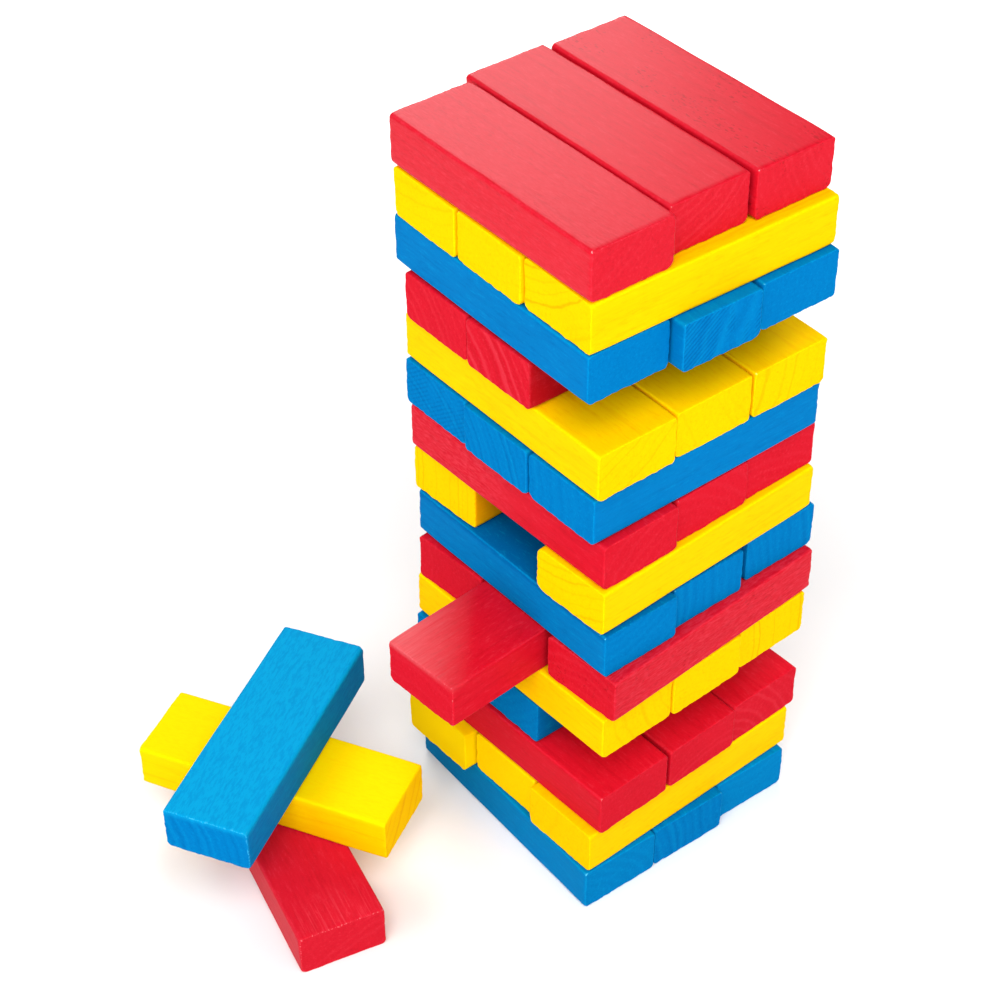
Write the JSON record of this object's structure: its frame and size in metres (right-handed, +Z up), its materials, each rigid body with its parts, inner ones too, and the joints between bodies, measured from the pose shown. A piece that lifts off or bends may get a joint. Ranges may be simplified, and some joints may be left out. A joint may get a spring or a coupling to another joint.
{
  "type": "tumbling tower game",
  "caption": "Tower of painted wooden blocks in alternating crosswise layers, mid-game, with some slots empty, one block half pulled out and a loose pile beside it.",
  "frame": {"origin": "middle of the tower's footprint, on the surface it stands on, in the bottom face of the bottom layer's middle block", "axes": "+Z up. The odd layers' blocks run along X and the even layers' along Y, each layer turned by a degree or two. The loose pile lies towards -Y."},
  "size_m": [0.3004, 0.4268, 0.5339],
  "materials": {
    "red_paint": "satin paint over sanded softwood",
    "yellow_paint": "satin paint over sanded softwood",
    "blue_paint": "satin paint over sanded softwood"
  },
  "bodies": {
    "layer_01_blue_front": {"layer_01_blue_front": "blue_paint"},
    "layer_01_blue_middle": {"layer_01_blue_middle": "blue_paint"},
    "layer_01_blue_back": {"layer_01_blue_back": "blue_paint"},
    "layer_02_yellow_left": {"layer_02_yellow_left": "yellow_paint"},
    "layer_02_yellow_middle": {"layer_02_yellow_middle": "yellow_paint"},
    "layer_02_yellow_right": {"layer_02_yellow_right": "yellow_paint"},
    "layer_03_red_front": {"layer_03_red_front": "red_paint"},
    "layer_03_red_middle": {"layer_03_red_middle": "red_paint"},
    "layer_03_red_back": {"layer_03_red_back": "red_paint"},
    "layer_04_blue_left": {"layer_04_blue_left": "blue_paint"},
    "layer_04_blue_middle": {"layer_04_blue_middle": "blue_paint"},
    "layer_05_yellow_front": {"layer_05_yellow_front": "yellow_paint"},
    "layer_05_yellow_middle": {"layer_05_yellow_middle": "yellow_paint"},
    "layer_05_yellow_back": {"layer_05_yellow_back": "yellow_paint"},
    "layer_06_red_left": {"layer_06_red_left": "red_paint"},
    "layer_06_red_middle": {"layer_06_red_middle": "red_paint"},
    "layer_06_red_right": {"layer_06_red_right": "red_paint"},
    "layer_07_blue_front": {"layer_07_blue_front": "blue_paint"},
    "layer_07_blue_middle": {"layer_07_blue_middle": "blue_paint"},
    "layer_07_blue_back": {"layer_07_blue_back": "blue_paint"},
    "layer_08_yellow_left": {"layer_08_yellow_left": "yellow_paint"},
    "layer_08_yellow_right": {"layer_08_yellow_right": "yellow_paint"},
    "layer_09_red_front": {"layer_09_red_front": "red_paint"},
    "layer_09_red_middle": {"layer_09_red_middle": "red_paint"},
    "layer_09_red_back": {"layer_09_red_back": "red_paint"},
    "layer_10_blue_left": {"layer_10_blue_left": "blue_paint"},
    "layer_10_blue_middle": {"layer_10_blue_middle": "blue_paint"},
    "layer_10_blue_right": {"layer_10_blue_right": "blue_paint"},
    "layer_11_yellow_front": {"layer_11_yellow_front": "yellow_paint"},
    "layer_11_yellow_middle": {"layer_11_yellow_middle": "yellow_paint"},
    "layer_11_yellow_back": {"layer_11_yellow_back": "yellow_paint"},
    "layer_12_red_left": {"layer_12_red_left": "red_paint"},
    "layer_12_red_middle": {"layer_12_red_middle": "red_paint"},
    "layer_13_blue_front": {"layer_13_blue_front": "blue_paint"},
    "layer_13_blue_middle": {"layer_13_blue_middle": "blue_paint"},
    "layer_13_blue_back": {"layer_13_blue_back": "blue_paint"},
    "layer_14_yellow_left": {"layer_14_yellow_left": "yellow_paint"},
    "layer_14_yellow_middle": {"layer_14_yellow_middle": "yellow_paint"},
    "layer_14_yellow_right": {"layer_14_yellow_right": "yellow_paint"},
    "layer_15_red_front": {"layer_15_red_front": "red_paint"},
    "layer_15_red_middle": {"layer_15_red_middle": "red_paint"},
    "layer_15_red_back": {"layer_15_red_back": "red_paint"},
    "loose_red": {"loose_red": "red_paint"},
    "loose_yellow": {"loose_yellow": "yellow_paint"},
    "loose_blue": {"loose_blue": "blue_paint"}
  },
  "joints": [
    {"name": "loose_red_slide", "type": "slide", "parent": "layer_01_blue_middle", "child": "loose_red", "axis": [0.9703, -0.2419, 0], "range_m": [0, 0.2]},
    {"name": "loose_yellow_slide", "type": "slide", "parent": "loose_red", "child": "loose_yellow", "axis": [0.8829, 0.4695, 0], "range_m": [-0.2, 0]},
    {"name": "loose_blue_slide", "type": "slide", "parent": "loose_yellow", "child": "loose_blue", "axis": [-0.4924, 0.8704, 0], "range_m": [-0.2, 0]},
    {"name": "layer_15_red_front_lift", "type": "slide", "parent": "layer_01_blue_middle", "child": "layer_15_red_front", "axis": [0, 0, 1], "range_m": [0, 0.2]},
    {"name": "layer_15_red_middle_lift", "type": "slide", "parent": "layer_01_blue_middle", "child": "layer_15_red_middle", "axis": [0, 0, 1], "range_m": [0, 0.2]},
    {"name": "layer_15_red_back_lift", "type": "slide", "parent": "layer_01_blue_middle", "child": "layer_15_red_back", "axis": [0, 0, 1], "range_m": [0, 0.2]},
    {"name": "layer_01_blue_front_slide", "type": "slide", "parent": "layer_01_blue_middle", "child": "layer_01_blue_front", "axis": [0.999, -0.0436, 0], "range_m": [-0.21, 0.19]},
    {"name": "layer_01_blue_back_slide", "type": "slide", "parent": "layer_01_blue_middle", "child": "layer_01_blue_back", "axis": [0.999, -0.0436, 0], "range_m": [-0.203, 0.197]},
    {"name": "layer_02_yellow_left_slide", "type": "slide", "parent": "layer_01_blue_middle", "child": "layer_02_yellow_left", "axis": [-0.0175, 0.9998, 0], "range_m": [-0.024, 0.211]},
    {"name": "layer_02_yellow_middle_slide", "type": "slide", "parent": "layer_01_blue_middle", "child": "layer_02_yellow_middle", "axis": [-0.0175, 0.9998, 0], "range_m": [-0.033, 0.202]},
    {"name": "layer_02_yellow_right_slide", "type": "slide", "parent": "layer_01_blue_middle", "child": "layer_02_yellow_right", "axis": [-0.0175, 0.9998, 0], "range_m": [-0.028, 0.207]},
    {"name": "layer_03_red_front_slide", "type": "slide", "parent": "layer_01_blue_middle", "child": "layer_03_red_front", "axis": [0.9997, 0.0262, 0], "range_m": [-0.206, 0.194]},
    {"name": "layer_03_red_middle_slide", "type": "slide", "parent": "layer_01_blue_middle", "child": "layer_03_red_middle", "axis": [0.9997, 0.0262, 0], "range_m": [-0.206, 0.194]},
    {"name": "layer_03_red_back_slide", "type": "slide", "parent": "layer_01_blue_middle", "child": "layer_03_red_back", "axis": [0.9997, 0.0262, 0], "range_m": [-0.204, 0.196]},
    {"name": "layer_04_blue_left_slide", "type": "slide", "parent": "layer_01_blue_middle", "child": "layer_04_blue_left", "axis": [-0.0087, 1, 0], "range_m": [-0.198, 0.202]},
    {"name": "layer_04_blue_middle_slide", "type": "slide", "parent": "layer_01_blue_middle", "child": "layer_04_blue_middle", "axis": [-0.0087, 1, 0], "range_m": [-0.201, 0.199]},
    {"name": "layer_05_yellow_front_slide", "type": "slide", "parent": "layer_01_blue_middle", "child": "layer_05_yellow_front", "axis": [0.9998, 0.0175, 0], "range_m": [-0.205, 0.195]},
    {"name": "layer_05_yellow_middle_slide", "type": "slide", "parent": "layer_01_blue_middle", "child": "layer_05_yellow_middle", "axis": [0.9998, 0.0175, 0], "range_m": [-0.206, 0.194]},
    {"name": "layer_05_yellow_back_slide", "type": "slide", "parent": "layer_01_blue_middle", "child": "layer_05_yellow_back", "axis": [0.9998, 0.0175, 0], "range_m": [-0.203, 0.197]},
    {"name": "layer_06_red_left_slide", "type": "slide", "parent": "layer_01_blue_middle", "child": "layer_06_red_left", "axis": [-0.061, 0.9981, 0], "range_m": [-0.205, 0.195]},
    {"name": "layer_06_red_middle_slide", "type": "slide", "parent": "layer_01_blue_middle", "child": "layer_06_red_middle", "axis": [-0.061, 0.9981, 0], "range_m": [-0.122, 0.278]},
    {"name": "layer_06_red_right_slide", "type": "slide", "parent": "layer_01_blue_middle", "child": "layer_06_red_right", "axis": [-0.061, 0.9981, 0], "range_m": [-0.2, 0.2]},
    {"name": "layer_07_blue_front_slide", "type": "slide", "parent": "layer_01_blue_middle", "child": "layer_07_blue_front", "axis": [1, 0, 0], "range_m": [-0.204, 0.196]},
    {"name": "layer_07_blue_middle_slide", "type": "slide", "parent": "layer_01_blue_middle", "child": "layer_07_blue_middle", "axis": [1, 0, 0], "range_m": [-0.199, 0.201]},
    {"name": "layer_07_blue_back_slide", "type": "slide", "parent": "layer_01_blue_middle", "child": "layer_07_blue_back", "axis": [1, 0, 0], "range_m": [-0.195, 0.205]},
    {"name": "layer_08_yellow_left_slide", "type": "slide", "parent": "layer_01_blue_middle", "child": "layer_08_yellow_left", "axis": [-0.0349, 0.9994, 0], "range_m": [-0.208, 0.192]},
    {"name": "layer_08_yellow_right_slide", "type": "slide", "parent": "layer_01_blue_middle", "child": "layer_08_yellow_right", "axis": [-0.0349, 0.9994, 0], "range_m": [-0.2, 0.2]},
    {"name": "layer_09_red_front_slide", "type": "slide", "parent": "layer_01_blue_middle", "child": "layer_09_red_front", "axis": [1, 0.0087, 0], "range_m": [-0.199, 0.201]},
    {"name": "layer_09_red_middle_slide", "type": "slide", "parent": "layer_01_blue_middle", "child": "layer_09_red_middle", "axis": [1, 0.0087, 0], "range_m": [-0.195, 0.205]},
    {"name": "layer_09_red_back_slide", "type": "slide", "parent": "layer_01_blue_middle", "child": "layer_09_red_back", "axis": [1, 0.0087, 0], "range_m": [-0.193, 0.207]},
    {"name": "layer_10_blue_left_slide", "type": "slide", "parent": "layer_01_blue_middle", "child": "layer_10_blue_left", "axis": [0.0087, 1, 0], "range_m": [-0.202, 0.198]},
    {"name": "layer_10_blue_middle_slide", "type": "slide", "parent": "layer_01_blue_middle", "child": "layer_10_blue_middle", "axis": [0.0087, 1, 0], "range_m": [-0.2, 0.2]},
    {"name": "layer_10_blue_right_slide", "type": "slide", "parent": "layer_01_blue_middle", "child": "layer_10_blue_right", "axis": [0.0087, 1, 0], "range_m": [-0.201, 0.199]},
    {"name": "layer_11_yellow_front_slide", "type": "slide", "parent": "layer_01_blue_middle", "child": "layer_11_yellow_front", "axis": [0.9998, -0.0175, 0], "range_m": [-0.198, 0.202]},
    {"name": "layer_11_yellow_middle_slide", "type": "slide", "parent": "layer_01_blue_middle", "child": "layer_11_yellow_middle", "axis": [0.9998, -0.0175, 0], "range_m": [-0.196, 0.204]},
    {"name": "layer_11_yellow_back_slide", "type": "slide", "parent": "layer_01_blue_middle", "child": "layer_11_yellow_back", "axis": [0.9998, -0.0175, 0], "range_m": [-0.196, 0.204]},
    {"name": "layer_12_red_left_slide", "type": "slide", "parent": "layer_01_blue_middle", "child": "layer_12_red_left", "axis": [0.0175, 0.9998, 0], "range_m": [-0.199, 0.201]},
    {"name": "layer_12_red_middle_slide", "type": "slide", "parent": "layer_01_blue_middle", "child": "layer_12_red_middle", "axis": [0.0175, 0.9998, 0], "range_m": [-0.198, 0.202]},
    {"name": "layer_13_blue_front_slide", "type": "slide", "parent": "layer_01_blue_middle", "child": "layer_13_blue_front", "axis": [0.9994, -0.0349, 0], "range_m": [-0.193, 0.207]},
    {"name": "layer_13_blue_middle_slide", "type": "slide", "parent": "layer_01_blue_middle", "child": "layer_13_blue_middle", "axis": [0.9994, -0.0349, 0], "range_m": [-0.203, 0.197]},
    {"name": "layer_13_blue_back_slide", "type": "slide", "parent": "layer_01_blue_middle", "child": "layer_13_blue_back", "axis": [0.9994, -0.0349, 0], "range_m": [-0.2, 0.2]},
    {"name": "layer_14_yellow_left_slide", "type": "slide", "parent": "layer_01_blue_middle", "child": "layer_14_yellow_left", "axis": [0.0436, 0.999, 0], "range_m": [-0.198, 0.202]},
    {"name": "layer_14_yellow_middle_slide", "type": "slide", "parent": "layer_01_blue_middle", "child": "layer_14_yellow_middle", "axis": [0.0436, 0.999, 0], "range_m": [-0.199, 0.201]},
    {"name": "layer_14_yellow_right_slide", "type": "slide", "parent": "layer_01_blue_middle", "child": "layer_14_yellow_right", "axis": [0.0436, 0.999, 0], "range_m": [-0.201, 0.199]}
  ]
}
